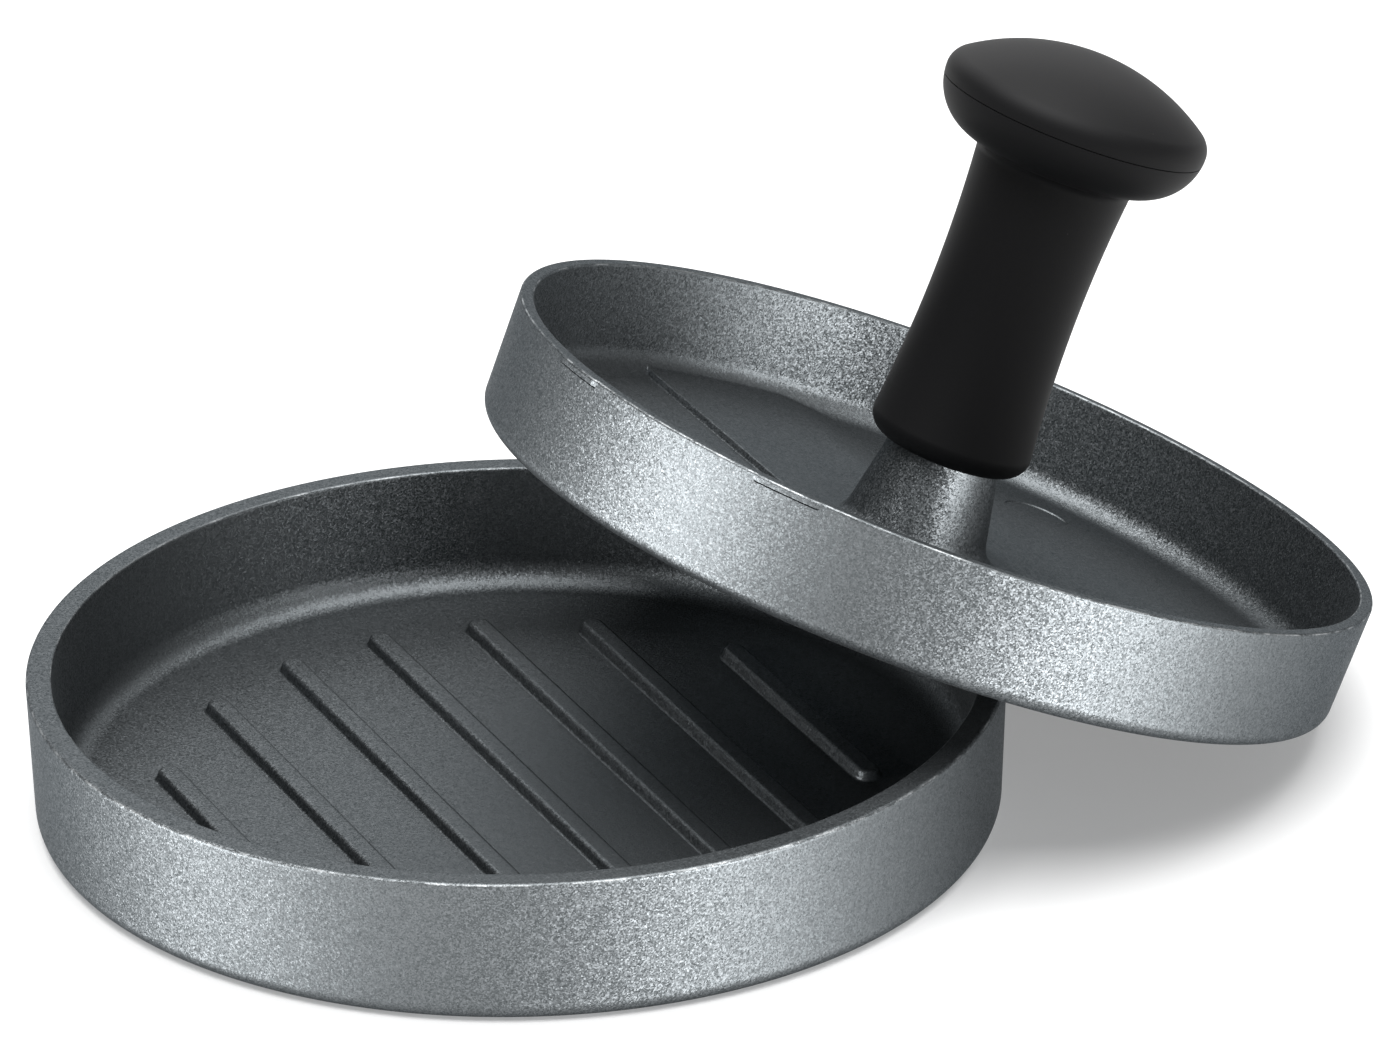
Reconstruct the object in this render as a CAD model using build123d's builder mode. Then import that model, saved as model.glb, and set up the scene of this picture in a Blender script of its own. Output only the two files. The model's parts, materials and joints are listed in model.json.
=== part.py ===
from build123d import *

import os
from math import cos, radians, sin, sqrt

# Patty press: a round ribbed pan and a loose press plate with a bolted-on knob handle.
#
# Frame: the origin is the centre of the pan's underside, +Z is up, and the press plate leans
# down towards +X, propped on the pan's rim with its far edge on the table.
# Every solid of revolution is drawn as (radius, height) above the underside of its own part.
# Lengths are in millimetres and angles in degrees.

# Pan
PAN_DIAMETER = 125.0
PAN_HEIGHT = 19.3
PAN_WALL = 3.3
PAN_FLOOR = 2.8
PAN_OUTER_DRAFT = 0.7  # how much smaller the radius is at the foot than at the rim
PAN_INNER_DRAFT = 0.5
PAN_FOOT_ROUND = 2.3
PAN_RIM_ROUND = 0.5
PAN_CORNER_ROUND = 3.5

# Press plate
PLATE_CLEARANCE = 0.5  # radial gap in the pan's mouth
PLATE_HEIGHT = 16.2
PLATE_DRAFT = 0.3
PLATE_FOOT_ROUND = 2.0
PLATE_RIM = 1.8
PLATE_FLOOR = 1.9
WELL_DRAFT = 1.2
WELL_CORNER_ROUND = 3.5
RIM_EDGE_ROUND = 0.4

# Raised bar across the floor of the well: a crisp step on one side, a ramp on the other
BAR_RISE = 0.9
BAR_STEP_X = -14.0
BAR_TOP_END_X = 8.0
BAR_RAMP_END_X = 15.0

# Parallel ribs that groove the patty, on the pan's floor and under the press plate
RIB_PITCH = 13.4
RIBS_EACH_SIDE = 3
RIB_REACH = 45.5  # the ribs end on a circle of this radius
RIB_WIDTH = 3.6
RIB_DRAFT = 18.0
RIB_CREST_ROUND = 0.7
PLATE_RIB_HEIGHT = 2.2
PAN_RIB_HEIGHT = 1.4

# Casting traces: trimmed gates under the plate's rim, ejector-pin circles in its well
GATE_STARTS = (179.0, -144.5)
GATE_ARC = 9.0
GATE_HEIGHT = 0.9
GATE_STAND = 0.3
PIN_MARK_RADIUS = 4.5
PIN_MARK_CIRCLE = 44.0
PIN_MARK_DEPTH = 0.15
PIN_MARK_ANGLES = (37.0, 143.0, 217.0, 323.0)

# Boss that carries the handle
BOSS_FOOT_RADIUS = 10.0
BOSS_TOP_RADIUS = 6.9
BOSS_FLARE_ROUND = 4.0
BOSS_TOP = 17.3
TAPPED_DEPTH = 13.0
TAPPED_RADIUS = 3.0

# Handle, heights above the plate's underside
GRIP_BOTTOM = 14.8
GRIP_FOOT_RADIUS = 10.8
GRIP_FOOT_ROUND = 2.8
GRIP_WAIST_RADIUS = 9.75
GRIP_WAIST_HEIGHT = 34.0
NECK_RADIUS = 10.4
NECK_ROUND = 1.5
KNOB_RADIUS = 17.7
KNOB_WIDEST = 62.8
KNOB_UNDERSIDE_ROUND = 7.5
SEAM_HEIGHT = 61.7
SEAM_GAP = 0.12
KNOB_TOP = 70.4
DOME_EDGE_ROUND = 2.9
SLEEVE_WALL = 1.7
FIT_GAP = 0.3  # between the handle and the cast boss that it turns on

# Inside the handle: an M6 cap screw with washers, down a counterbored core
SCREW_RADIUS = 2.95
SCREW_LENGTH = 40.0
SCREW_HEAD_RADIUS = 5.0
SCREW_HEAD_HEIGHT = 6.0
SCREW_TIP_ROUND = 0.6
SCREW_HEAD_ROUND = 0.5
HEX_KEY = 5.0  # across flats
HEX_DEPTH = 3.0
THREAD_ENGAGED = 12.0
CHANNEL_RADIUS = 3.3
COUNTERBORE_RADIUS = 6.4
WASHER_RADIUS = 6.0
WASHER_BORE = 3.2
WASHER_THICKNESS = 1.6
SPRING_WASHER_RADIUS = 5.9
SPLIT_WIDTH = 1.5
CORE_NECK_TOP = 54.0
CORE_FLANGE_RADIUS = 14.6
CORE_FLANGE = 2.9
CAP_WALL = 2.2
CAP_SKIRT = (11.6, 13.0)  # inner and outer radius
CAP_SKIRT_DEPTH = 2.0

# How the press plate leans at rest
LEAN = 23.0
TABLE_GAP = 0.3
RIM_GAP = 0.3

PAN_RADIUS = PAN_DIAMETER / 2
PAN_MOUTH_RADIUS = PAN_RADIUS - PAN_WALL
PLATE_RADIUS = PAN_MOUTH_RADIUS - PLATE_CLEARANCE
PLATE_FOOT_RADIUS = PLATE_RADIUS - PLATE_DRAFT
WELL_MOUTH_RADIUS = PLATE_RADIUS - PLATE_RIM
WELL_FLOOR_RADIUS = WELL_MOUTH_RADIUS - WELL_DRAFT
CORE_RADIUS = GRIP_WAIST_RADIUS - SLEEVE_WALL
BOSS_SLOPE = (BOSS_FOOT_RADIUS - BOSS_TOP_RADIUS) / (BOSS_TOP - PLATE_FLOOR)
SLEEVE_BORE = BOSS_TOP_RADIUS + BOSS_SLOPE * (BOSS_TOP - GRIP_BOTTOM) + FIT_GAP
HEAD_SEAT = BOSS_TOP - THREAD_ENGAGED + SCREW_LENGTH
COUNTERBORE_FLOOR = HEAD_SEAT - 2 * WASHER_THICKNESS

# The knob's underside and its edge are arcs that both stand upright at the widest line, and the
# dome is the arc that the edge runs into.
underside_centre = KNOB_RADIUS - KNOB_UNDERSIDE_ROUND


def underside_radius(height):
    """Radius of the knob's underside at a height below its widest line."""
    return underside_centre + sqrt(KNOB_UNDERSIDE_ROUND**2 - (KNOB_WIDEST - height) ** 2)


lip = SEAM_HEIGHT + SEAM_GAP
lip_radius = underside_radius(lip)
seam_radius = underside_radius(SEAM_HEIGHT)
neck_height = KNOB_WIDEST - sqrt(
    KNOB_UNDERSIDE_ROUND**2 - (NECK_RADIUS - underside_centre) ** 2
)
edge_centre = KNOB_RADIUS - DOME_EDGE_ROUND
dome_rise = KNOB_TOP - KNOB_WIDEST
dome_radius = (edge_centre**2 + dome_rise**2 - DOME_EDGE_ROUND**2) / (
    2 * (dome_rise - DOME_EDGE_ROUND)
)
edge_share = dome_radius / (dome_radius - DOME_EDGE_ROUND)
dome_edge = (
    edge_centre * edge_share,
    KNOB_TOP - dome_radius + (dome_radius - dome_rise) * edge_share,
)

# The plate's lowest point is on the round of its foot, and the pan's rim meets its underside.
plate_rise = (
    TABLE_GAP
    + (PLATE_FOOT_RADIUS - PLATE_FOOT_ROUND) * sin(radians(LEAN))
    + PLATE_FOOT_ROUND * (1 - cos(radians(LEAN)))
)
rim_drop = (PAN_HEIGHT - plate_rise) * cos(radians(LEAN)) + RIM_GAP
plate_reach = PAN_RADIUS - RIM_EDGE_ROUND + rim_drop / sin(radians(LEAN))

plate_frame = Plane(
    origin=(plate_reach, 0, plate_rise),
    x_dir=(cos(radians(LEAN)), 0, -sin(radians(LEAN))),
    z_dir=(sin(radians(LEAN)), 0, cos(radians(LEAN))),
)
plate_underside = Plane(
    origin=plate_frame.origin, x_dir=plate_frame.x_dir, z_dir=-plate_frame.z_dir
)
plate_axis = Axis(plate_frame.origin, plate_frame.z_dir)


def plate_section_at(angle):
    """The half plane through the plate's axis, turned by an angle from the lean direction."""
    outwards = plate_frame.x_dir.rotate(Axis((0, 0, 0), plate_frame.z_dir), angle)
    return Plane(
        origin=plate_frame.origin,
        x_dir=outwards,
        z_dir=outwards.cross(plate_frame.z_dir),
    )


def add_ribs(face, height):
    """Raise the parallel ribs on a face, given as a plane that looks outwards."""
    for row in range(-RIBS_EACH_SIDE, RIBS_EACH_SIDE + 1):
        offset = row * RIB_PITCH
        length = 2 * sqrt(RIB_REACH**2 - offset**2)
        with BuildSketch(face) as rib:
            with Locations((offset, 0)):
                SlotOverall(length, RIB_WIDTH, rotation=90)
        extrude(rib.sketch, amount=height, taper=RIB_DRAFT)
        crest = edges(Select.LAST).group_by(Axis(face.origin, face.z_dir))[-1]
        fillet(crest, RIB_CREST_ROUND)


plate_section = plate_section_at(0)

with BuildPart() as base_pan:
    with BuildSketch(Plane.XZ):
        with BuildLine():
            FilletPolyline(
                (0, 0),
                (PAN_RADIUS - PAN_OUTER_DRAFT, 0),
                (PAN_RADIUS, PAN_HEIGHT),
                (PAN_MOUTH_RADIUS, PAN_HEIGHT),
                (PAN_MOUTH_RADIUS - PAN_INNER_DRAFT, PAN_FLOOR),
                (0, PAN_FLOOR),
                radius=(PAN_FOOT_ROUND, PAN_RIM_ROUND, RIM_EDGE_ROUND, PAN_CORNER_ROUND),
            )
            Line((0, PAN_FLOOR), (0, 0))
        make_face()
    revolve(axis=Axis.Z)
    add_ribs(Plane.XY.offset(PAN_FLOOR), PAN_RIB_HEIGHT)
base_pan.part.label = "base_pan"

with BuildPart() as press_plate:
    with BuildSketch(plate_section):
        with BuildLine():
            FilletPolyline(
                (0, 0),
                (PLATE_FOOT_RADIUS, 0),
                (PLATE_RADIUS, PLATE_HEIGHT),
                (WELL_MOUTH_RADIUS, PLATE_HEIGHT),
                (WELL_FLOOR_RADIUS, PLATE_FLOOR),
                (BOSS_FOOT_RADIUS, PLATE_FLOOR),
                (BOSS_TOP_RADIUS, BOSS_TOP),
                (0, BOSS_TOP),
                radius=(
                    PLATE_FOOT_ROUND,
                    RIM_EDGE_ROUND,
                    RIM_EDGE_ROUND,
                    WELL_CORNER_ROUND,
                    BOSS_FLARE_ROUND,
                    RIM_EDGE_ROUND,
                ),
            )
            Line((0, BOSS_TOP), (0, 0))
        make_face()
    revolve(axis=plate_axis)
    # The bar is cut to a disc that ends inside the well's wall.
    with BuildPart(mode=Mode.PRIVATE) as bar:
        with BuildSketch(plate_section):
            Polygon(
                (BAR_STEP_X, PLATE_FLOOR / 2),
                (BAR_STEP_X, PLATE_FLOOR + BAR_RISE),
                (BAR_TOP_END_X, PLATE_FLOOR + BAR_RISE),
                (BAR_RAMP_END_X, PLATE_FLOOR),
                (BAR_RAMP_END_X, PLATE_FLOOR / 2),
                align=None,
            )
        extrude(amount=PLATE_RADIUS, both=True)
        with BuildSketch(plate_frame):
            Circle((WELL_MOUTH_RADIUS + PLATE_FOOT_RADIUS) / 2)
        extrude(amount=PLATE_HEIGHT, mode=Mode.INTERSECT)
    add(bar.part)
    add_ribs(plate_underside, PLATE_RIB_HEIGHT)
    with BuildSketch(plate_frame.offset(PLATE_FLOOR - PIN_MARK_DEPTH)):
        for angle in PIN_MARK_ANGLES:
            with PolarLocations(PIN_MARK_CIRCLE, 1, start_angle=angle):
                Circle(PIN_MARK_RADIUS)
    extrude(amount=PIN_MARK_DEPTH, mode=Mode.SUBTRACT)
    for start in GATE_STARTS:
        with BuildSketch(plate_section_at(start)):
            with Locations((PLATE_RADIUS, PLATE_HEIGHT - GATE_HEIGHT)):
                Rectangle(2 * GATE_STAND, GATE_HEIGHT)
        revolve(axis=plate_axis, revolution_arc=GATE_ARC)
    with BuildSketch(plate_frame.offset(BOSS_TOP)):
        Circle(TAPPED_RADIUS)
    extrude(amount=-TAPPED_DEPTH, mode=Mode.SUBTRACT)
press_plate.part.label = "press_plate"

with BuildPart() as handle_core:
    with BuildSketch(plate_section):
        with BuildLine():
            Polyline(
                (CHANNEL_RADIUS, BOSS_TOP),
                (CORE_RADIUS, BOSS_TOP),
                (CORE_RADIUS, CORE_NECK_TOP),
                (CORE_FLANGE_RADIUS, SEAM_HEIGHT - CORE_FLANGE),
                (CORE_FLANGE_RADIUS, SEAM_HEIGHT),
                (CAP_SKIRT[1], SEAM_HEIGHT),
                (CAP_SKIRT[1], SEAM_HEIGHT - CAP_SKIRT_DEPTH),
                (CAP_SKIRT[0], SEAM_HEIGHT - CAP_SKIRT_DEPTH),
                (CAP_SKIRT[0], SEAM_HEIGHT),
                (COUNTERBORE_RADIUS, SEAM_HEIGHT),
                (COUNTERBORE_RADIUS, COUNTERBORE_FLOOR),
                (CHANNEL_RADIUS, COUNTERBORE_FLOOR),
                close=True,
            )
        make_face()
    revolve(axis=plate_axis)
handle_core.part.label = "handle_core"

with BuildPart() as grip_sleeve:
    with BuildSketch(plate_section):
        with BuildLine():
            foot_arc_top = (GRIP_FOOT_RADIUS, GRIP_BOTTOM + GRIP_FOOT_ROUND)
            foot_arc_end = (GRIP_FOOT_RADIUS - GRIP_FOOT_ROUND, GRIP_BOTTOM)
            RadiusArc(foot_arc_end, foot_arc_top, -GRIP_FOOT_ROUND)
            ThreePointArc(
                foot_arc_top, (GRIP_WAIST_RADIUS, GRIP_WAIST_HEIGHT), (NECK_RADIUS, neck_height)
            )
            RadiusArc(
                (NECK_RADIUS, neck_height), (seam_radius, SEAM_HEIGHT), -KNOB_UNDERSIDE_ROUND
            )
            Polyline(
                (seam_radius, SEAM_HEIGHT),
                (CORE_FLANGE_RADIUS, SEAM_HEIGHT),
                (CORE_FLANGE_RADIUS, SEAM_HEIGHT - CORE_FLANGE),
                (CORE_RADIUS, CORE_NECK_TOP),
                (CORE_RADIUS, BOSS_TOP),
                (SLEEVE_BORE, BOSS_TOP),
                (SLEEVE_BORE, GRIP_BOTTOM),
                foot_arc_end,
            )
        make_face()
        fillet(vertices().sort_by_distance((NECK_RADIUS, neck_height))[0], NECK_ROUND)
    revolve(axis=plate_axis)
grip_sleeve.part.label = "grip_sleeve"

with BuildPart() as knob_cap:
    with BuildSketch(plate_section):
        with BuildLine():
            RadiusArc((lip_radius, lip), (KNOB_RADIUS, KNOB_WIDEST), -KNOB_UNDERSIDE_ROUND)
            RadiusArc((KNOB_RADIUS, KNOB_WIDEST), dome_edge, -DOME_EDGE_ROUND)
            RadiusArc(dome_edge, (0, KNOB_TOP), -dome_radius)
            Polyline(
                (0, KNOB_TOP),
                (0, KNOB_TOP - CAP_WALL),
                (CAP_SKIRT[0], lip + 2 * CAP_WALL),
                (CAP_SKIRT[0], SEAM_HEIGHT - CAP_SKIRT_DEPTH),
                (CAP_SKIRT[1], SEAM_HEIGHT - CAP_SKIRT_DEPTH),
                (CAP_SKIRT[1], lip),
                (lip_radius, lip),
            )
        make_face()
    revolve(axis=plate_axis)
knob_cap.part.label = "knob_cap"

with BuildPart() as handle_screw:
    with BuildSketch(plate_section):
        with BuildLine():
            FilletPolyline(
                (0, HEAD_SEAT - SCREW_LENGTH),
                (SCREW_RADIUS, HEAD_SEAT - SCREW_LENGTH),
                (SCREW_RADIUS, HEAD_SEAT),
                (SCREW_HEAD_RADIUS, HEAD_SEAT),
                (SCREW_HEAD_RADIUS, HEAD_SEAT + SCREW_HEAD_HEIGHT),
                (0, HEAD_SEAT + SCREW_HEAD_HEIGHT),
                radius=(SCREW_TIP_ROUND, 0, 0, SCREW_HEAD_ROUND),
            )
            Line((0, HEAD_SEAT + SCREW_HEAD_HEIGHT), (0, HEAD_SEAT - SCREW_LENGTH))
        make_face()
    revolve(axis=plate_axis)
    with BuildSketch(plate_frame.offset(HEAD_SEAT + SCREW_HEAD_HEIGHT)):
        RegularPolygon(HEX_KEY / 2, 6, major_radius=False)
    extrude(amount=-HEX_DEPTH, mode=Mode.SUBTRACT)
handle_screw.part.label = "handle_screw"

with BuildPart() as flat_washer:
    with BuildSketch(plate_frame.offset(COUNTERBORE_FLOOR)):
        Circle(WASHER_RADIUS)
        Circle(WASHER_BORE, mode=Mode.SUBTRACT)
    extrude(amount=WASHER_THICKNESS)
flat_washer.part.label = "flat_washer"

with BuildPart() as spring_washer:
    with BuildSketch(plate_frame.offset(COUNTERBORE_FLOOR + WASHER_THICKNESS)):
        Circle(SPRING_WASHER_RADIUS)
        Circle(WASHER_BORE, mode=Mode.SUBTRACT)
        with Locations((SPRING_WASHER_RADIUS, 0)):
            Rectangle(2 * SPRING_WASHER_RADIUS, SPLIT_WIDTH, mode=Mode.SUBTRACT)
    extrude(amount=WASHER_THICKNESS)
spring_washer.part.label = "spring_washer"

os.makedirs("parts", exist_ok=True)
for piece in (
    base_pan,
    press_plate,
    handle_core,
    grip_sleeve,
    knob_cap,
    handle_screw,
    flat_washer,
    spring_washer,
):
    export_step(piece.part, f"parts/{piece.part.label}.step")
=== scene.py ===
"""Patty press: a ribbed cast pan and a loose press plate with a knob handle, coated aluminium
and soft-touch plastic, on a pale studio floor."""

import json
import math

import bmesh
import bpy
import numpy as np
from mathutils import Matrix, Quaternion, Vector
from mathutils.geometry import delaunay_2d_cdt


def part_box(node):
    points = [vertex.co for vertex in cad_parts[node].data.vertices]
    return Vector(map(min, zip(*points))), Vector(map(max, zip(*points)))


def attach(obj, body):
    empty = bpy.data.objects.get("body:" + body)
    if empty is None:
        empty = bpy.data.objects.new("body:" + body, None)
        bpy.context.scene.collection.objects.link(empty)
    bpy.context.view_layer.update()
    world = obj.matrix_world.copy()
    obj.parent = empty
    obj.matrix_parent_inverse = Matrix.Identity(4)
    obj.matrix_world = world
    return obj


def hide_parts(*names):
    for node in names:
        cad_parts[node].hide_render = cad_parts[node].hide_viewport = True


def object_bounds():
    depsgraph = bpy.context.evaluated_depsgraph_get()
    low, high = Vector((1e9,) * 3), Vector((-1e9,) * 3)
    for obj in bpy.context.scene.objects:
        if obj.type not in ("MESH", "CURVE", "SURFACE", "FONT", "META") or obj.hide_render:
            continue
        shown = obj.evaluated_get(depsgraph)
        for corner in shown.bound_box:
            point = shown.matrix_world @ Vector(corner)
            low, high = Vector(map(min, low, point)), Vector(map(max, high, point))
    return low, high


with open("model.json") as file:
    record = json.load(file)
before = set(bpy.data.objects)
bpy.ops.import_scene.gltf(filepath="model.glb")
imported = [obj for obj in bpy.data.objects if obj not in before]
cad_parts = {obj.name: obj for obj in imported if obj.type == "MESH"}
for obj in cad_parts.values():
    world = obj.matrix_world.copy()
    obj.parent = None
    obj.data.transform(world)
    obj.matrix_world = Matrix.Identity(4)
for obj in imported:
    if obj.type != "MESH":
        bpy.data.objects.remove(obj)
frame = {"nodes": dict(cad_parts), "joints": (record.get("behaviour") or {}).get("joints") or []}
cad_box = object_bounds()

# Sizes are in millimetres until a mesh is finished, and heights are above the underside of the
# pan or of the press plate.
MM = 0.001
SEGMENTS = 720  # round the castings
HANDLE_SEGMENTS = 360
SCREW_SEGMENTS = 96
PIN_SEGMENTS = 96
SHARP_ANGLE = math.radians(35)
WEAR_FOCUS = 10  # how closely the wear keeps to the middle of a rounded edge

pan_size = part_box("base_pan")[1] / MM
PAN_RADIUS = pan_size.x
PAN_HEIGHT = pan_size.z
PAN_WALL = 3.3
PAN_FLOOR = 2.8
PAN_OUTER_DRAFT = 0.7
PAN_INNER_DRAFT = 0.5
PAN_FOOT_ROUND = 2.3
PAN_RIM_ROUND = 0.5
PAN_CORNER_ROUND = 3.5
PAN_MOUTH_RADIUS = PAN_RADIUS - PAN_WALL

PLATE_RADIUS = PAN_MOUTH_RADIUS - 0.5
PLATE_HEIGHT = 16.2
PLATE_DRAFT = 0.3
PLATE_FOOT_ROUND = 2.0
PLATE_RIM = 1.8
PLATE_FLOOR = 1.9
WELL_DRAFT = 1.2
WELL_CORNER_ROUND = 3.5
RIM_EDGE_ROUND = 0.4
WELL_MOUTH_RADIUS = PLATE_RADIUS - PLATE_RIM

# Raised bar across the well: a step on one side and a ramp on the other
BAR_RISE = 0.9
BAR_STEP_X = -14.0
BAR_TOP_END_X = 8.0
BAR_RAMP_END_X = 15.0
BAR_EDGE_ROUND = 0.25
BAR_STEP_SLOPE = 0.12  # half the width of the step's steep face
BAR_RAMP_ROUND = 6.0
BLEND = 0.35  # how softly the bar runs into the well's wall and the boss

RIB_PITCH = 13.4
RIBS_EACH_SIDE = 3
RIB_REACH = 45.5
RIB_WIDTH = 3.6
RIB_DRAFT = math.radians(18)
RIB_CREST_ROUND = 0.7
RIB_FOOT_ROUND = 0.4
PLATE_RIB_HEIGHT = 2.2
PAN_RIB_HEIGHT = 1.4
RIB_FIELD_RADIUS = 50.0

GATE_STARTS = (179, 215.5)
GATE_ARC = 9
GATE_HEIGHT = 0.9
GATE_STAND = 0.3
GATE_CRACK = 0.25  # depth and height of the groove under a gate
GATE_END = 0.5  # degrees over which a gate fades in and out
PIN_MARK_RADIUS = 4.5
PIN_MARK_CIRCLE = 44.0
PIN_MARK_DEPTH = 0.15
PIN_MARK_SLOPE = 0.08  # half the width of the mark's edge
PIN_MARK_ANGLES = (37, 143, 217, 323)

BOSS_FOOT_RADIUS = 10.0
BOSS_TOP_RADIUS = 6.9
BOSS_FLARE_ROUND = 4.0
FLOOR_SPLIT_RADIUS = BOSS_FOOT_RADIUS + 14  # where the outlines of the well and the boss meet
BOSS_TOP = 17.3
TAPPED_DEPTH = 13.0
TAPPED_RADIUS = 3.0
WELL_BLEND_HEIGHT = 2.2  # the part of the wall and boss that the bar can reach, above the floor

GRIP_BOTTOM = 14.8
GRIP_FOOT_RADIUS = 10.8
GRIP_FOOT_ROUND = 2.8
GRIP_WAIST_RADIUS = 9.75
GRIP_WAIST_HEIGHT = 34.0
NECK_RADIUS = 10.4
NECK_ROUND = 1.5
KNOB_RADIUS = 17.7
KNOB_WIDEST = 62.8
KNOB_UNDERSIDE_ROUND = 7.5
SEAM_HEIGHT = 61.7
SEAM_GAP = 0.12
KNOB_TOP = 70.4
DOME_EDGE_ROUND = 2.9
SLEEVE_WALL = 1.7
FIT_GAP = 0.3
CORE_RADIUS = GRIP_WAIST_RADIUS - SLEEVE_WALL
BOSS_SLOPE = (BOSS_FOOT_RADIUS - BOSS_TOP_RADIUS) / (BOSS_TOP - PLATE_FLOOR)
SLEEVE_BORE = BOSS_TOP_RADIUS + BOSS_SLOPE * (BOSS_TOP - GRIP_BOTTOM) + FIT_GAP
CORE_NECK_TOP = 54.0
CORE_FLANGE_RADIUS = 14.6
CORE_FLANGE = 2.9
CAP_WALL = 2.2
CAP_SKIRT = (11.6, 13.0)
CAP_SKIRT_DEPTH = 2.0

SCREW_RADIUS = 2.95
SCREW_LENGTH = 40.0
THREAD_PITCH = 1.0
THREAD_DEPTH = 0.55
THREAD_LENGTH = 28.0
THREAD_ENGAGED = 12.0
SCREW_HEAD_RADIUS = 5.0
SCREW_HEAD_HEIGHT = 6.0
HEX_KEY = 5.0
HEX_DEPTH = 3.0
HEX_MOUTH_RADIUS = HEX_KEY * 0.56
HEX_SNUG = 0.97
HEX_CHAMFER = 0.25
HEAD_SEAT = BOSS_TOP - THREAD_ENGAGED + SCREW_LENGTH

# Camera, as angles round the object
AIM = Vector((27.0, 3.8, 32.1)) * MM
CAMERA_AZIMUTH = -25.33
CAMERA_ELEVATION = 24.93
CAMERA_ROLL = -0.56
CAMERA_DISTANCE = 1.2108
CAMERA_LENS = 244.9
CAMERA_SENSOR = 36.0

# The plate's own frame stands on the handle's axis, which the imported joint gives.
handle_joint = next(j for j in frame["joints"] if j["name"] == "handle_unscrew")
plate_up = Vector(handle_joint["axis"]).normalized()
plate_origin = Vector(handle_joint["pos_m"]) - plate_up * BOSS_TOP * MM
plate_across = Vector((0, 1, 0))
plate_along = plate_across.cross(plate_up)
plate_matrix = Matrix((plate_along, plate_across, plate_up)).transposed().to_4x4()
plate_matrix.translation = plate_origin


# ---------------------------------------------------------------- outlines and meshes


def arc(centre, radius, start, end, step=6.0):
    """Points (radius, height, wear) on an arc between two angles in degrees."""
    count = max(4, math.ceil(abs(end - start) / step))
    angles = np.radians(np.linspace(start, end, count + 1))
    cx, cy = centre
    return [(cx + radius * math.cos(a), cy + radius * math.sin(a), 0.0) for a in angles]


def rounded(corners):
    """Points (radius, height, wear) along a polyline with rounded corners.

    Its corners are (radius, height, round, wear)."""
    points = []
    for i, (across, up, rounding, wear) in enumerate(corners):
        corner = Vector((across, up))
        if rounding == 0:
            points.append((across, up, wear))
            continue
        back = (Vector(corners[i - 1][:2]) - corner).normalized()
        on = (Vector(corners[i + 1][:2]) - corner).normalized()
        half = back.angle(on) / 2
        centre = corner + (back + on).normalized() * (rounding / math.sin(half))
        reach = rounding / math.tan(half)
        first, last = (corner + d * reach - centre for d in (back, on))
        start = math.degrees(math.atan2(first.y, first.x))
        turn = math.degrees(math.pi - 2 * half) * math.copysign(1, first.cross(last))
        bend = arc(centre, rounding, start, start + turn)
        for k, (a, b, _) in enumerate(bend):
            middle = math.sin(math.pi * k / (len(bend) - 1))
            points.append((a, b, wear * middle**WEAR_FOCUS))
    return points


def divided(points, step=1.0, near=0.2):
    """The same line with its long stretches divided, and a point close to each of their ends."""
    result = [points[0]]
    for (a0, b0, w0), (a1, b1, w1) in zip(points, points[1:]):
        length = math.hypot(a1 - a0, b1 - b0)
        if length > 2.5 * near:
            inner = np.linspace(near, length - near, max(2, math.ceil(length / step)))
            da, db = a1 - a0, b1 - b0
            result += [(a0 + da * t / length, b0 + db * t / length, 0.0) for t in inner]
        result.append((a1, b1, w1))
    return result


def lathe(points, segments=SEGMENTS):
    """Vertices, quads and wear of the surface that a line of (radius, height, wear) turns into."""
    line = np.array(points)
    angles = np.arange(segments) * (2 * math.pi / segments)
    ring = np.stack([np.cos(angles), np.sin(angles)], axis=1)
    verts = np.zeros((len(line), segments, 3))
    verts[:, :, :2] = line[:, 0, None, None] * ring[None]
    verts[:, :, 2] = line[:, 1, None]
    row, column = np.meshgrid(np.arange(len(line) - 1), np.arange(segments), indexing="ij")
    here, there = row * segments, (row + 1) * segments
    after = (column + 1) % segments
    quads = np.stack([here + column, here + after, there + after, there + column], axis=-1)
    return verts.reshape(-1, 3), quads.reshape(-1, 4).tolist(), np.repeat(line[:, 2], segments)


def circle(radius, count=SEGMENTS, centre=(0, 0)):
    angles = np.arange(count) * (2 * math.pi / count)
    cx, cy = centre
    return np.stack([cx + radius * np.cos(angles), cy + radius * np.sin(angles)], axis=1)


def stadium(offset, half_length, distance, step=1.2):
    """The loop at a distance from a line across the disc, or the line itself at distance 0."""
    along = np.linspace(-half_length, half_length, max(3, math.ceil(2 * half_length / step)))
    if distance < 0.05:
        return np.stack([np.full_like(along, offset), along], axis=1), False
    bend = np.radians(np.linspace(0, 180, 14)[1:-1])
    right = np.stack([np.full_like(along, offset + distance), along], axis=1)
    x, y = offset + distance * np.cos(bend), half_length + distance * np.sin(bend)
    top = np.stack([x, y], axis=1)
    turned = [(2 * offset, 0) - half for half in (right, top)]
    return np.concatenate([right, top, *turned]), True


def triangulated(lines, hole_radius=0.0):
    """A flat mesh whose edges follow every line, given as (points, closed).

    The first line is its outline."""
    coords, edges = [], []
    for points, closed in lines:
        start, count = len(coords), len(points)
        coords += [Vector(p) for p in points]
        edges += [(start + i, start + i + 1) for i in range(count - 1)]
        if closed:
            edges.append((start + count - 1, start))
    found = delaunay_2d_cdt(coords, edges, [], 0, 1e-5)
    verts = np.array([tuple(v) for v in found[0]])
    faces = [f for f in found[2] if np.hypot(*verts[list(f)].mean(axis=0)) > hole_radius]
    return verts, faces


def joined(parts):
    """One list of vertices, faces and wear from several."""
    verts, faces, wear, count = [], [], [], 0
    for v, f, w in parts:
        verts.append(v)
        faces += [tuple(i + count for i in face) for face in f]
        wear.append(w)
        count += len(v)
    return np.concatenate(verts), faces, np.concatenate(wear)


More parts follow.
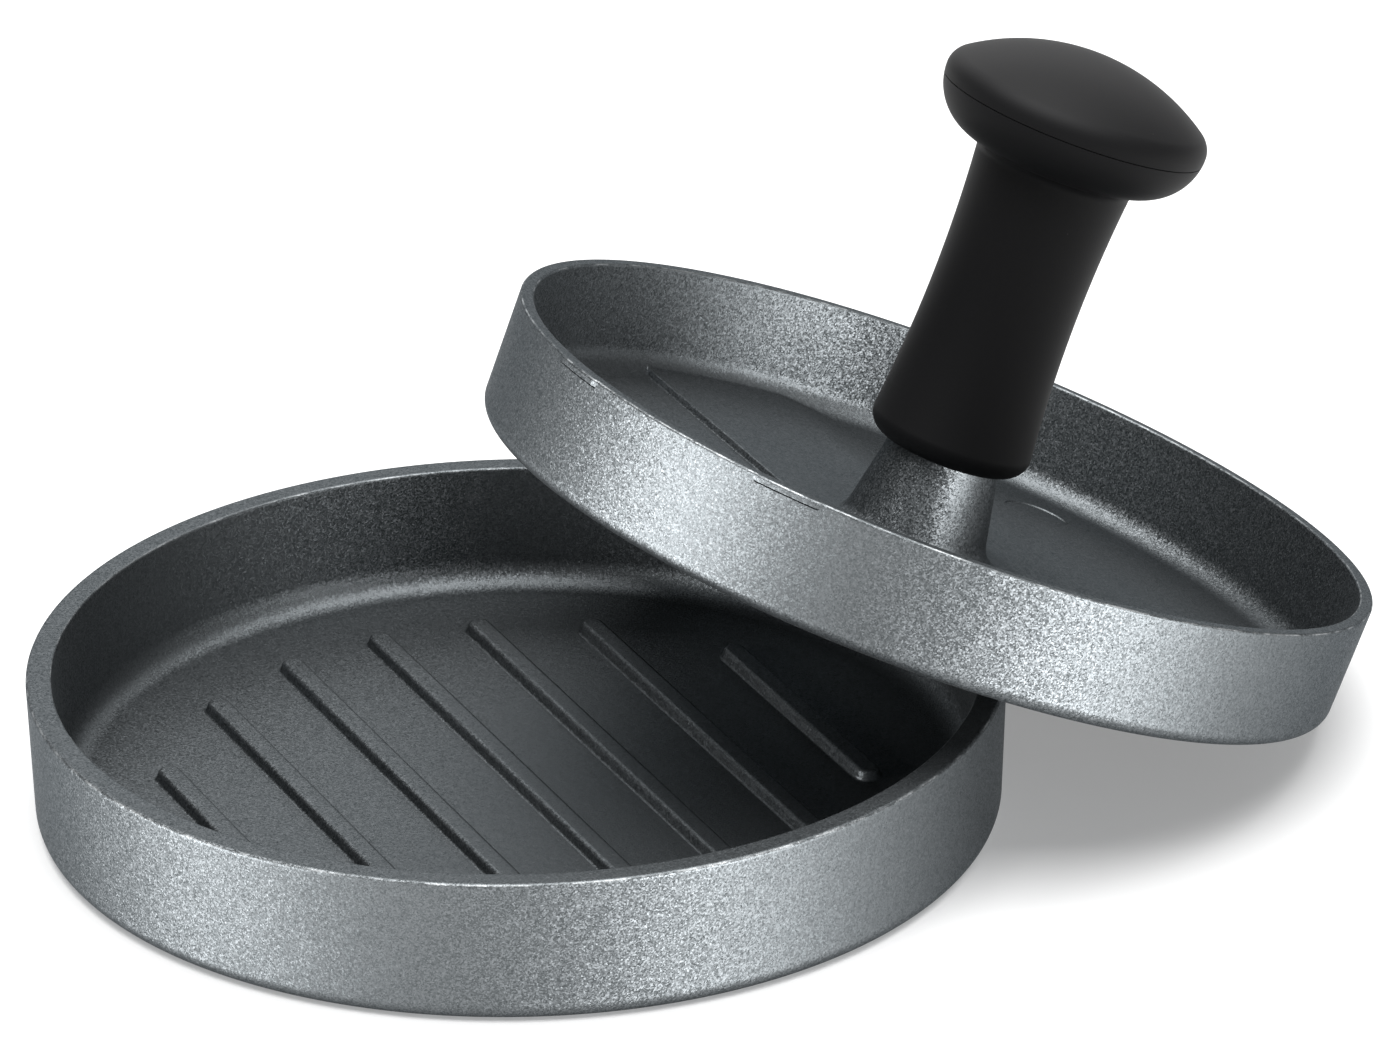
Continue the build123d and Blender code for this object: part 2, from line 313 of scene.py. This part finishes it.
def add_piece(name, parts, matrix, body, material, stands_for):
    """A closed, smooth piece from parts that share their border points, riding on a body."""
    verts, faces, wear = joined(parts)
    mesh = bpy.data.meshes.new(name)
    mesh.from_pydata((verts * MM).tolist(), [], faces)
    attribute = mesh.attributes.new("edge_wear", "FLOAT", "POINT")
    attribute.data.foreach_set("value", wear.astype(np.float32))
    shape = bmesh.new()
    shape.from_mesh(mesh)
    bmesh.ops.remove_doubles(shape, verts=shape.verts, dist=2e-6)
    bmesh.ops.dissolve_degenerate(shape, edges=shape.edges, dist=1e-7)
    bmesh.ops.recalc_face_normals(shape, faces=shape.faces)
    shape.to_mesh(mesh)
    shape.free()
    mesh.transform(matrix)
    mesh.shade_smooth()
    mesh.set_sharp_from_angle(angle=SHARP_ANGLE)
    mesh.materials.append(material)
    piece = bpy.data.objects.new(name, mesh)
    bpy.context.scene.collection.objects.link(piece)
    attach(piece, body)
    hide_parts(stands_for)
    return piece


# ---------------------------------------------------------------- pan and press plate


def rib_lines(height):
    """(distance from the rib's middle, height) down a rib's side."""
    crest = RIB_WIDTH / 2 - height * math.tan(RIB_DRAFT)
    foot = RIB_WIDTH / 2
    corners = [
        (0, height, 0, 0),
        (crest, height, RIB_CREST_ROUND, 0),
        (foot, 0, RIB_FOOT_ROUND, 0),
        (foot + 1.5, 0, 0, 0),
    ]
    return [(a, b) for a, b, _ in rounded(corners)]


def ribbed_disc(level, height):
    """The round field of parallel ribs, standing up from a level, or down with a height below 0."""
    side = rib_lines(abs(height))
    lines = [(circle(RIB_FIELD_RADIUS), True)]
    offsets = [row * RIB_PITCH for row in range(-RIBS_EACH_SIDE, RIBS_EACH_SIDE + 1)]
    halves = [math.sqrt(RIB_REACH**2 - offset**2) - RIB_WIDTH / 2 for offset in offsets]
    for offset, half in zip(offsets, halves):
        lines += [stadium(offset, half, distance) for distance, _ in side]
    verts, faces = triangulated(lines)
    away = np.full(len(verts), 1e3)
    for offset, half in zip(offsets, halves):
        beyond = np.maximum(np.abs(verts[:, 1]) - half, 0)
        away = np.minimum(away, np.hypot(verts[:, 0] - offset, beyond))
    rise = np.interp(away, [d for d, _ in side], [h for _, h in side])
    up = level + math.copysign(1, height) * rise
    return np.column_stack([verts, up]), faces, np.zeros(len(verts))


def make_pan(material):
    corners = [
        (0, 0, 0, 0),
        (PAN_RADIUS - PAN_OUTER_DRAFT, 0, PAN_FOOT_ROUND, 0),
        (PAN_RADIUS, PAN_HEIGHT, PAN_RIM_ROUND, 1),
        (PAN_MOUTH_RADIUS, PAN_HEIGHT, RIM_EDGE_ROUND, 0.6),
        (PAN_MOUTH_RADIUS - PAN_INNER_DRAFT, PAN_FLOOR, PAN_CORNER_ROUND, 0),
        (RIB_FIELD_RADIUS, PAN_FLOOR, 0, 0),
    ]
    parts = [lathe(divided(rounded(corners))), ribbed_disc(PAN_FLOOR, PAN_RIB_HEIGHT)]
    return add_piece(
        "cast_pan", parts, Matrix(), "base", material, "base_pan"
    )


def bar_profile():
    """(x, height above the well's floor) across the raised bar."""
    corners = [
        (BAR_STEP_X - 4, 0, 0, 0),
        (BAR_STEP_X - BAR_STEP_SLOPE, 0, BAR_EDGE_ROUND, 0),
        (BAR_STEP_X + BAR_STEP_SLOPE, BAR_RISE, BAR_EDGE_ROUND, 0),
        (BAR_TOP_END_X, BAR_RISE, BAR_RAMP_ROUND, 0),
        (BAR_RAMP_END_X, 0, BAR_RAMP_ROUND, 0),
        (BAR_RAMP_END_X + 4, 0, 0, 0),
    ]
    return [(a, b) for a, b, _ in rounded(corners)]


def chord(x, inner, outer, step=0.8):
    """Straight lines across a ring at x, open ended, a little inside its borders."""
    top = math.sqrt(max(outer**2 - x**2, 0)) - 0.05
    bottom = math.sqrt(max(inner**2 - x**2, 0)) + 0.05 if abs(x) < inner else 0.0
    ys = np.linspace(bottom, top, math.ceil((top - bottom) / step))
    upper = np.stack([np.full_like(ys, x), ys], axis=1)
    if bottom == 0.0:
        return [np.concatenate([(upper * (1, -1))[:0:-1], upper])]
    return [upper, upper * (1, -1)]


def well_floor(wall, boss):
    """The well's floor with the raised bar and the pin marks, from the boss out to the wall.

    wall and boss are the turned lines (radius, height) that the bar runs into."""
    turned = sorted([(r, h) for r, h, _ in boss] + [(r, h) for r, h, _ in wall])
    inner, outer = turned[0][0], turned[-1][0]
    lines = [(circle(outer), True), (circle(inner), True)]
    lines += [(circle(r, SEGMENTS // 2), True) for r, _ in turned[1:-1]]
    lines += [(circle(r, SEGMENTS // 4), True) for r in np.arange(14, 52, 3.0)]
    bar = bar_profile()
    for x, _ in bar:
        lines += [(line, False) for line in chord(x, inner, outer)]
    turns = [math.radians(a) for a in PIN_MARK_ANGLES]
    pins = [(PIN_MARK_CIRCLE * math.cos(a), PIN_MARK_CIRCLE * math.sin(a)) for a in turns]
    edge = (PIN_MARK_RADIUS + PIN_MARK_SLOPE, PIN_MARK_RADIUS, PIN_MARK_RADIUS - PIN_MARK_SLOPE)
    lines += [(circle(r, PIN_SEGMENTS, centre), True) for centre in pins for r in edge]
    verts, faces = triangulated(lines, inner)
    x, y = verts.T
    base = np.interp(np.hypot(x, y), [r for r, _ in turned], [h for _, h in turned])
    pressed = PLATE_FLOOR + np.interp(x, [a for a, _ in bar], [b for _, b in bar])
    for px, py in pins:
        away = np.hypot(x - px, y - py)
        dip = np.interp(away, [edge[2], edge[0]], [PIN_MARK_DEPTH, 0])
        base = base - dip
        pressed = pressed - dip
    gap = np.abs(base - pressed)
    soft = np.maximum(BLEND - gap, 0) ** 2 / (4 * BLEND)
    soft = soft * (np.maximum(base, pressed) > PLATE_FLOOR + 0.05)
    up = np.maximum(base, pressed) + soft * np.clip((pressed - PLATE_FLOOR) / BAR_RISE, 0, 1)
    return np.column_stack([verts, up]), faces, np.zeros(len(verts))


def add_gates(part):
    """Let the trimmed gates stand out of the outer wall, each with a groove below it."""
    verts, faces, wear = part
    radius = np.hypot(verts[:, 0], verts[:, 1])
    angle = np.degrees(np.arctan2(verts[:, 1], verts[:, 0])) % 360
    below = PLATE_HEIGHT - GATE_HEIGHT - verts[:, 2]
    outside = (radius > WELL_MOUTH_RADIUS + 1.0) & (verts[:, 2] < PLATE_HEIGHT - 0.02)
    pad = outside & (below < 0.01)
    crack = outside & (np.abs(below - GATE_CRACK / 2) < 0.01)
    for start in GATE_STARTS:
        inwards = np.minimum(angle - start, start + GATE_ARC - angle)
        share = np.clip(inwards / GATE_END, 0, 1)
        stand = share * (GATE_STAND * pad - GATE_CRACK * crack)
        verts[:, :2] *= ((radius + stand) / radius)[:, None]
    return verts, faces, wear


def make_plate(material):
    foot_radius = PLATE_RADIUS - PLATE_DRAFT
    side_radius = PLATE_RADIUS - PLATE_DRAFT * GATE_HEIGHT / PLATE_HEIGHT
    outer = [
        (RIB_FIELD_RADIUS, 0, 0, 0),
        (foot_radius, 0, PLATE_FOOT_ROUND, 0),
        (side_radius, PLATE_HEIGHT - GATE_HEIGHT - GATE_CRACK, 0, 0),
        (side_radius, PLATE_HEIGHT - GATE_HEIGHT - GATE_CRACK / 2, 0, 0),
        (side_radius, PLATE_HEIGHT - GATE_HEIGHT, 0, 0),
        (PLATE_RADIUS, PLATE_HEIGHT, RIM_EDGE_ROUND, 1),
        (WELL_MOUTH_RADIUS, PLATE_HEIGHT, RIM_EDGE_ROUND, 0.7),
        (WELL_MOUTH_RADIUS - WELL_DRAFT, PLATE_FLOOR, WELL_CORNER_ROUND, 0),
        (FLOOR_SPLIT_RADIUS, PLATE_FLOOR, 0, 0),
    ]
    inner = [
        (FLOOR_SPLIT_RADIUS, PLATE_FLOOR, 0, 0),
        (BOSS_FOOT_RADIUS, PLATE_FLOOR, BOSS_FLARE_ROUND, 0),
        (BOSS_TOP_RADIUS, BOSS_TOP, RIM_EDGE_ROUND, 0.4),
        (TAPPED_RADIUS, BOSS_TOP, 0, 0),
        (TAPPED_RADIUS, BOSS_TOP - TAPPED_DEPTH, 0, 0),
        (0, BOSS_TOP - TAPPED_DEPTH, 0, 0),
    ]
    top = PLATE_FLOOR + WELL_BLEND_HEIGHT
    outer_line, inner_line = rounded(outer), rounded(inner)
    # Cut both lines where they dip below the reach of the bar; the floor takes over there.
    rim = max(range(len(outer_line)), key=lambda i: outer_line[i][1])
    first = next(i for i in range(rim, len(outer_line)) if outer_line[i][1] < top)
    last = next(i for i, p in enumerate(inner_line) if p[1] > top)
    wall = outer_line[first:-1]
    boss = inner_line[1:last]
    outside = divided(outer_line[: first + 1])
    inside = divided(inner_line[last - 1 :])
    parts = [
        ribbed_disc(0, -PLATE_RIB_HEIGHT),
        add_gates(lathe(outside)),
        well_floor(wall, boss),
        lathe(inside),
    ]
    return add_piece(
        "cast_plate", parts, plate_matrix, "plate", material, "press_plate"
    )


# ---------------------------------------------------------------- handle


def through(a, b, c, count=40):
    """Points on the arc through three points, in a number of equal steps."""
    (ax, ay), (bx, by), (cx, cy) = a, b, c
    d = 2 * (ax * (by - cy) + bx * (cy - ay) + cx * (ay - by))
    aa, bb, cc = ax**2 + ay**2, bx**2 + by**2, cx**2 + cy**2
    ux = (aa * (by - cy) + bb * (cy - ay) + cc * (ay - by)) / d
    uy = (aa * (cx - bx) + bb * (ax - cx) + cc * (bx - ax)) / d
    centre = Vector((ux, uy))
    start, end = (Vector(p) - centre for p in (a, c))
    first = math.atan2(start.y, start.x)
    sweep = math.remainder(math.atan2(end.y, end.x) - first, 2 * math.pi)
    return [
        (ux + start.length * math.cos(first + sweep * i / count),
         uy + start.length * math.sin(first + sweep * i / count), 0.0)
        for i in range(count + 1)
    ]


def underside_radius(height):
    """Radius of the knob's underside at a height below its widest line."""
    reach = math.sqrt(KNOB_UNDERSIDE_ROUND**2 - (KNOB_WIDEST - height) ** 2)
    return KNOB_RADIUS - KNOB_UNDERSIDE_ROUND + reach


def underside(low, high):
    """Points up the knob's underside between two heights."""
    centre = KNOB_RADIUS - KNOB_UNDERSIDE_ROUND
    angles = [
        math.degrees(math.atan2(h - KNOB_WIDEST, underside_radius(h) - centre))
        for h in (low, high)
    ]
    return arc((centre, KNOB_WIDEST), KNOB_UNDERSIDE_ROUND, *angles, step=3.0)


def neck_fillet():
    """Centre and end angle of the small round where the stem meets the knob's underside.

    It touches the stem's side from outside, and the underside's arc from outside too."""
    centre = Vector((KNOB_RADIUS - KNOB_UNDERSIDE_ROUND, KNOB_WIDEST))
    across = NECK_RADIUS + NECK_ROUND
    drop = math.sqrt((KNOB_UNDERSIDE_ROUND + NECK_ROUND) ** 2 - (across - centre.x) ** 2)
    middle = Vector((across, KNOB_WIDEST - drop))
    towards = centre - middle
    return middle, math.degrees(math.atan2(towards.y, towards.x))


def make_sleeve(material):
    middle, end = neck_fillet()
    touch = KNOB_WIDEST - (KNOB_WIDEST - middle.y) * KNOB_UNDERSIDE_ROUND / (
        KNOB_UNDERSIDE_ROUND + NECK_ROUND
    )
    foot = (GRIP_FOOT_RADIUS - GRIP_FOOT_ROUND, GRIP_BOTTOM + GRIP_FOOT_ROUND)
    side = through(
        (GRIP_FOOT_RADIUS, foot[1]),
        (GRIP_WAIST_RADIUS, GRIP_WAIST_HEIGHT),
        (NECK_RADIUS, middle.y),
    )
    seam_radius = underside_radius(SEAM_HEIGHT)
    inside = [
        (seam_radius, SEAM_HEIGHT, 0),
        (CORE_FLANGE_RADIUS, SEAM_HEIGHT, 0),
        (CORE_FLANGE_RADIUS, SEAM_HEIGHT - CORE_FLANGE, 0),
        (CORE_RADIUS, CORE_NECK_TOP, 0),
        (CORE_RADIUS, BOSS_TOP, 0),
        (SLEEVE_BORE, BOSS_TOP, 0),
        (SLEEVE_BORE, GRIP_BOTTOM, 0),
        (foot[0], GRIP_BOTTOM, 0),
    ]
    line = arc(foot, GRIP_FOOT_ROUND, -90, 0) + side[1:]
    line += arc(middle, NECK_ROUND, 180, end)[1:] + underside(touch, SEAM_HEIGHT)[1:]
    line += inside[1:]
    return add_piece(
        "soft_grip", [lathe(divided(line), HANDLE_SEGMENTS)], plate_matrix,
        "handle", material, "grip_sleeve",
    )


def make_cap(material):
    lip = SEAM_HEIGHT + SEAM_GAP
    # The round of the edge stands upright at the widest line and touches the dome from inside.
    across = KNOB_RADIUS - DOME_EDGE_ROUND
    rise = KNOB_TOP - KNOB_WIDEST
    dome_radius = (across**2 + rise**2 - DOME_EDGE_ROUND**2) / (2 * (rise - DOME_EDGE_ROUND))
    turn = math.degrees(math.atan2(dome_radius - rise, across))
    line = underside(lip, KNOB_WIDEST)
    line += arc((across, KNOB_WIDEST), DOME_EDGE_ROUND, 0, turn, step=3.0)[1:]
    line += arc((0, KNOB_TOP - dome_radius), dome_radius, turn, 90, step=1.5)[1:]
    line += [
        (0, KNOB_TOP - CAP_WALL, 0),
        (CAP_SKIRT[0], lip + 2 * CAP_WALL, 0),
        (CAP_SKIRT[0], SEAM_HEIGHT - CAP_SKIRT_DEPTH, 0),
        (CAP_SKIRT[1], SEAM_HEIGHT - CAP_SKIRT_DEPTH, 0),
        (CAP_SKIRT[1], lip, 0),
        (underside_radius(lip), lip, 0),
    ]
    return add_piece(
        "soft_cap", [lathe(divided(line), HANDLE_SEGMENTS)], plate_matrix,
        "handle", material, "knob_cap",
    )


def make_screw(material):
    """Socket-head screw with a rolled thread on the lower part of its shank."""
    foot = HEAD_SEAT - SCREW_LENGTH
    head = HEAD_SEAT + SCREW_HEAD_HEIGHT
    shank = [
        (0, foot, 0, 0),
        (SCREW_RADIUS - 0.1, foot, 0.5, 0),
        (SCREW_RADIUS, foot + 2, 0, 0),
        (SCREW_RADIUS, HEAD_SEAT, 0, 0),
        (SCREW_HEAD_RADIUS, HEAD_SEAT, 0.2, 0),
        (SCREW_HEAD_RADIUS, head, 0.5, 0),
        (HEX_MOUTH_RADIUS, head, 0, 0),
    ]
    line = divided(rounded(shank), step=THREAD_PITCH / 8, near=0.06)
    verts, faces, wear = lathe(line, SCREW_SEGMENTS)
    radius = np.hypot(verts[:, 0], verts[:, 1])
    turned = np.arctan2(verts[:, 1], verts[:, 0]) / (2 * math.pi)
    up = verts[:, 2] - foot
    wave = np.abs(((up / THREAD_PITCH - turned) % 1.0) - 0.5) * 2
    fade = np.clip(up / 1.2, 0, 1) * np.clip((THREAD_LENGTH - up) / 1.0, 0, 1)
    on_thread = (radius > SCREW_RADIUS - 0.15) & (up < THREAD_LENGTH)
    cut = np.where(on_thread, THREAD_DEPTH * fade * np.clip(wave * 1.3 - 0.15, 0, 1), 0)
    verts[:, :2] *= ((radius - cut) / np.maximum(radius, 1e-6))[:, None]
    socket = hex_socket(head)
    return add_piece(
        "cap_screw", [(verts, faces, wear), socket], plate_matrix,
        "handle", material, "handle_screw",
    )


def hex_socket(head):
    """The hexagonal recess, from the round mouth on top of the screw's head to its floor."""
    count = SCREW_SEGMENTS
    mouth = circle(HEX_MOUTH_RADIUS, count)
    angle = np.arange(count) * (2 * math.pi / count)
    flat = HEX_KEY / 2 / np.cos((angle + math.pi / 6) % (math.pi / 3) - math.pi / 6)
    hexagon = HEX_SNUG * np.stack([flat * np.cos(angle), flat * np.sin(angle)], axis=1)
    rings = [(mouth, head), (hexagon, head - HEX_CHAMFER), (hexagon, head - HEX_DEPTH)]
    verts = [np.column_stack([ring, np.full(count, up)]) for ring, up in rings]
    verts.append(np.array([[0, 0, head - HEX_DEPTH]]))
    faces = []
    for start in (0, count):
        for i in range(count):
            j = (i + 1) % count
            faces.append((start + i, start + j, start + count + j, start + count + i))
    floor, middle = 2 * count, 3 * count
    faces += [(floor + i, floor + (i + 1) % count, middle) for i in range(count)]
    return np.concatenate(verts), faces, np.zeros(middle + 1)


# ---------------------------------------------------------------- materials


class Nodes:
    """A material's node tree, built with short calls."""

    def __init__(self, name):
        self.material = bpy.data.materials.new(name)
        self.material.use_nodes = True
        self.tree = self.material.node_tree
        self.shader = self.tree.nodes["Principled BSDF"]
        self.place = self.tree.nodes.new("ShaderNodeTexCoord").outputs["Object"]

    def node(self, kind, inputs=(), **settings):
        made = self.tree.nodes.new("ShaderNode" + kind)
        for key, value in settings.items():
            setattr(made, key, value)
        for key, value in dict(inputs).items():
            if isinstance(value, bpy.types.NodeSocket):
                self.tree.links.new(value, made.inputs[key])
            else:
                made.inputs[key].default_value = value
        return made

    def math(self, operation, a, b=0.0):
        return self.node("Math", {0: a, 1: b}, operation=operation).outputs[0]

    def vector(self, operation, a, b=(0, 0, 0), output=0):
        return self.node("VectorMath", {0: a, 1: b}, operation=operation).outputs[output]

    def ramp(self, value, *stops):
        made = self.node("ValToRGB", {0: value})
        elements = made.color_ramp.elements
        while len(elements) < len(stops):
            elements.new(0.5)
        for element, (place, level) in zip(elements, stops):
            element.position = place
            element.color = (*level, 1) if isinstance(level, tuple) else (level, level, level, 1)
        return made.outputs["Color"]

    def noise(self, scale, detail=2.0, roughness=0.5):
        return self.node(
            "TexNoise",
            {"Vector": self.place, "Scale": scale, "Detail": detail, "Roughness": roughness},
        ).outputs["Fac"]

    def voronoi(self, scale, output="Color", feature="F1"):
        return self.node(
            "TexVoronoi", {"Vector": self.place, "Scale": scale}, feature=feature
        ).outputs[output]

    def mix(self, factor, a, b):
        return self.node("Mix", {0: factor, 6: a, 7: b}, data_type="RGBA").outputs[2]

    def bump(self, height, distance, strength=1.0):
        return self.node(
            "Bump", {"Height": height, "Distance": distance, "Strength": strength}
        ).outputs["Normal"]

    def set(self, **values):
        """Give shader sockets a constant or a link; an underscore in a name is a space."""
        for key, value in values.items():
            socket = self.shader.inputs[key.replace("_", " ")]
            if isinstance(value, bpy.types.NodeSocket):
                self.tree.links.new(value, socket)
            else:
                socket.default_value = value


def coated_aluminium():
    """Grey metallic coating: tilted silver flakes in fine orange peel, rubbed bare on rim edges."""
    n = Nodes("coated_aluminium")
    flakes = n.voronoi(5600)
    tilt = n.vector("SUBTRACT", flakes, (0.5, 0.5, 0.5))
    tilt = n.node("VectorMath", {0: tilt, "Scale": 0.28}, operation="SCALE").outputs[0]
    peel = n.bump(n.noise(1100, 2.0), 0.00006, 0.6)
    normal = n.vector("NORMALIZE", n.vector("ADD", peel, tilt))
    shade = n.node("SeparateColor", {0: flakes}).outputs[0]
    body = n.ramp(shade, (0.0, (0.065, 0.072, 0.075)), (1.0, (0.15, 0.16, 0.167)))
    rubbed = n.node("Attribute", attribute_name="edge_wear").outputs["Fac"]
    patches = n.ramp(n.noise(320, 4.0, 0.7), (0.45, 0.0), (0.65, 0.8))
    bare = n.math("MULTIPLY", rubbed, patches)
    n.set(
        Base_Color=n.mix(bare, body, (0.55, 0.57, 0.58, 1)),
        Metallic=1.0,
        Roughness=0.48,
        Specular_Tint=(0.3, 0.31, 0.32, 1),
        Normal=normal,
    )
    return n.material


def soft_touch():
    """Matte black rubbery plastic with a fine grain and a few specks of dust."""
    n = Nodes("soft_touch")
    grain = n.bump(n.noise(5000, 2.0), 0.00002, 0.5)
    dust = n.ramp(n.voronoi(900, "Distance"), (0.03, 1.0), (0.06, 0.0))
    lot = n.node("SeparateColor", {0: n.voronoi(900)}).outputs[1]
    chosen = n.ramp(lot, (0.975, 0.0), (0.98, 1.0))
    specks = n.math("MULTIPLY", dust, chosen)
    n.set(
        Base_Color=n.mix(specks, (0.0035, 0.0035, 0.004, 1), (0.12, 0.12, 0.12, 1)),
        Roughness=0.62,
                Normal=grain,
    )
    n.shader.inputs["Specular IOR Level"].default_value = 0.2
    return n.material


def core_plastic():
    """Hard black plastic of the handle's core, with the flow marks of moulding."""
    n = Nodes("core_plastic")
    flow = n.noise(180, 3.0)
    n.set(
        Base_Color=n.ramp(flow, (0.3, (0.018, 0.018, 0.019)), (0.7, (0.03, 0.03, 0.031))),
        Roughness=n.ramp(flow, (0.3, 0.38), (0.7, 0.5)),
        Normal=n.bump(n.noise(2500), 0.00002, 0.4),
    )
    return n.material


def plated_steel():
    """Zinc-plated steel with a fine drawn grain and a faint warm and cool tint."""
    n = Nodes("plated_steel")
    stretched = n.vector("MULTIPLY", n.place, (1.0, 1.0, 0.06))
    drawn = n.node("TexNoise", {"Vector": stretched, "Scale": 5200, "Detail": 3}).outputs["Fac"]
    tint = n.ramp(n.noise(260, 3.0), (0.3, (0.56, 0.57, 0.6)), (0.7, (0.62, 0.6, 0.54)))
    n.set(
        Base_Color=tint,
        Metallic=1.0,
        Roughness=n.ramp(drawn, (0.3, 0.24), (0.7, 0.4)),
        Normal=n.bump(drawn, 0.00001, 0.5),
    )
    return n.material


def floor_paint():
    n = Nodes("floor_paint")
    n.set(Base_Color=(0.6, 0.6, 0.6, 1), Roughness=0.9)
    n.set(Emission_Color=(1, 1, 1, 1), Emission_Strength=0.27)
    return n.material


# ---------------------------------------------------------------- studio


def direction(azimuth, elevation):
    """Unit vector from the object towards a viewer at that azimuth and elevation."""
    a, e = math.radians(azimuth), math.radians(elevation)
    return Vector((math.sin(a) * math.cos(e), -math.cos(a) * math.cos(e), math.sin(e)))


def add_camera():
    camera = bpy.data.objects.new("camera", bpy.data.cameras.new("camera"))
    bpy.context.scene.collection.objects.link(camera)
    back = direction(CAMERA_AZIMUTH, CAMERA_ELEVATION)
    camera.location = AIM + back * CAMERA_DISTANCE
    camera.rotation_mode = "QUATERNION"
    roll = Quaternion((0, 0, 1), math.radians(CAMERA_ROLL))
    camera.rotation_quaternion = (-back).to_track_quat("-Z", "Y") @ roll
    camera.data.lens = CAMERA_LENS
    camera.data.sensor_width = CAMERA_SENSOR
    camera.data.clip_start, camera.data.clip_end = 0.05, 20
    bpy.context.scene.camera = camera


def add_softbox(name, azimuth, elevation, distance, width, height, power, lit=()):
    """A rectangular lamp facing the object, its azimuth counted from the camera's.

    With lit, only those pieces take and block its light, so that it may reach below the floor."""
    lamp = bpy.data.lights.new(name, "AREA")
    lamp.shape = "RECTANGLE"
    lamp.size, lamp.size_y = width, height
    lamp.energy = power
    holder = bpy.data.objects.new(name, lamp)
    bpy.context.scene.collection.objects.link(holder)
    towards = direction(CAMERA_AZIMUTH + azimuth, elevation)
    holder.location = AIM + towards * distance
    holder.rotation_mode = "QUATERNION"
    holder.rotation_quaternion = (-towards).to_track_quat("-Z", "Y")
    if lit:
        group = bpy.data.collections.new(name + "_lit")
        for piece in lit:
            group.objects.link(piece)
        holder.light_linking.receiver_collection = group
        holder.light_linking.blocker_collection = group


def add_world(strength):
    world = bpy.data.worlds.new("studio")
    world.use_nodes = True
    world.node_tree.nodes["Background"].inputs["Color"].default_value = (1, 1, 1, 1)
    world.node_tree.nodes["Background"].inputs["Strength"].default_value = strength
    bpy.context.scene.world = world


def add_floor():
    mesh = bpy.data.meshes.new("floor")
    reach = 6.0
    corners = [(-reach, -reach, 0), (reach, -reach, 0), (reach, reach, 0), (-reach, reach, 0)]
    mesh.from_pydata(corners, [], [(0, 1, 2, 3)])
    mesh.materials.append(floor_paint())
    floor = bpy.data.objects.new("floor", mesh)
    bpy.context.scene.collection.objects.link(floor)
    floor.location.z = cad_box[0].z


def build_studio(metal):
    bpy.context.scene.view_settings.view_transform = "Standard"
    add_camera()
    add_floor()
    add_world(0.2)
    add_softbox("key", -67, -3, 1.3, 0.42, 0.9, 40, metal)
    add_softbox("side", 44, -3, 1.3, 0.4, 0.9, 41, metal)
    add_softbox("back", 180, 28, 2.0, 3.0, 1.4, 24)
    add_softbox("top", 0, 84, 1.6, 1.6, 1.6, 60)


def build_object():
    """Makes every piece, and returns the coated ones."""
    coating = coated_aluminium()
    rubber = soft_touch()
    steel = plated_steel()
    plastic = core_plastic()
    make_sleeve(rubber)
    make_cap(rubber)
    make_screw(steel)
    kept = {"handle_core": plastic, "flat_washer": steel, "spring_washer": steel}
    for name, material in kept.items():
        node = frame["nodes"][name]
        node.data.materials.clear()
        node.data.materials.append(material)
    return [make_pan(coating), make_plate(coating)]


build_studio(build_object())
